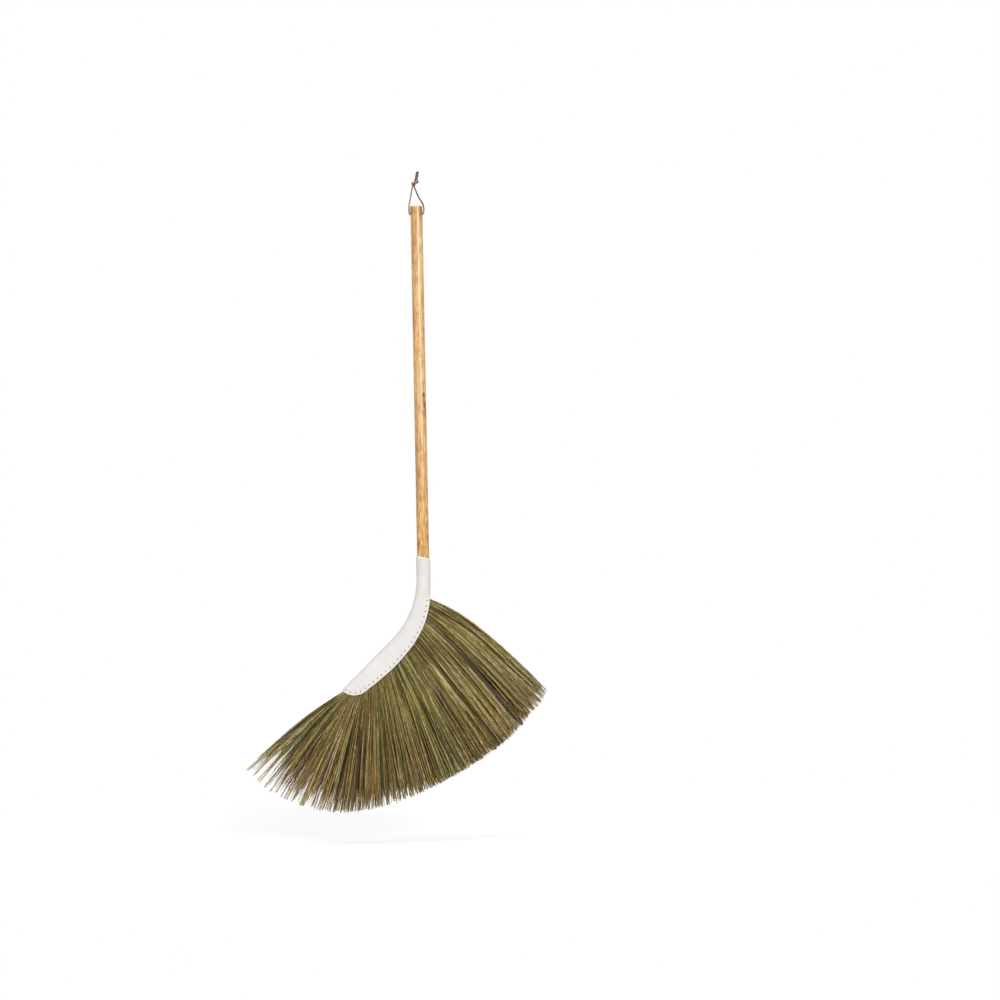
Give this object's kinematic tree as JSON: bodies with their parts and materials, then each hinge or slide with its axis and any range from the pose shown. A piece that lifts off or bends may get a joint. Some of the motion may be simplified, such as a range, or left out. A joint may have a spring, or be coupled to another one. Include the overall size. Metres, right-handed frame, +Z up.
{
  "type": "grass broom",
  "caption": "Short curved grass broom: plain round wood handle on a leather hanging loop, stitched folded leather sleeve, wide swept fan of ragged grass.",
  "frame": {"origin": "point inside the leather loop, just under its knot, where a hook bears and the broom hangs from", "axes": "+Z up along the handle, +X towards the heel of the fan (the fan's toe points to -X), -Y towards the front face that is seen when the broom hangs on a wall"},
  "size_m": [0.4921, 0.0448, 1.0567],
  "materials": {
    "handle_wood": "turned and lightly oiled",
    "lace_leather": "soft, dark brown, raw edges",
    "sleeve_leather": "smooth pale grey-white, creamy cut edges",
    "stitch_thread": "waxed off-white thread",
    "stem_straw": "dry stems",
    "broom_grass": "dry olive and golden grass",
    "binding_steel": "plain drawn wire and nail"
  },
  "bodies": {
    "hanging_loop": {"hanging_lace": "lace_leather", "lace_knot": "lace_leather", "lace_tail_left": "lace_leather", "lace_tail_right": "lace_leather"},
    "broom": {"handle": "handle_wood", "handle_nail": "binding_steel", "sleeve": "sleeve_leather", "stitch_thread_outer": "stitch_thread", "stitch_thread_inner": "stitch_thread", "stem_core": "stem_straw", "binding_wire_upper": "binding_steel", "binding_wire_lower": "binding_steel", "grass_bunch_01": "broom_grass", "grass_bunch_02": "broom_grass", "grass_bunch_03": "broom_grass", "grass_bunch_04": "broom_grass", "grass_bunch_05": "broom_grass", "grass_bunch_06": "broom_grass", "grass_bunch_07": "broom_grass", "grass_bunch_08": "broom_grass", "grass_bunch_09": "broom_grass", "grass_bunch_10": "broom_grass", "grass_bunch_11": "broom_grass", "grass_bunch_12": "broom_grass", "grass_bunch_13": "broom_grass", "grass_bunch_14": "broom_grass", "grass_bunch_15": "broom_grass", "grass_bunch_16": "broom_grass", "grass_bunch_17": "broom_grass", "grass_bunch_18": "broom_grass", "grass_bunch_19": "broom_grass", "grass_bunch_20": "broom_grass", "grass_bunch_21": "broom_grass", "grass_bunch_22": "broom_grass", "grass_bunch_23": "broom_grass", "grass_bunch_24": "broom_grass"}
  },
  "joints": [
    {"name": "loop_swing", "type": "hinge", "parent": "hanging_loop", "child": "broom", "pos_m": [0.0047, 0, -0.0462], "axis": [1, 0, 0], "range_deg": [-150, 150]}
  ]
}
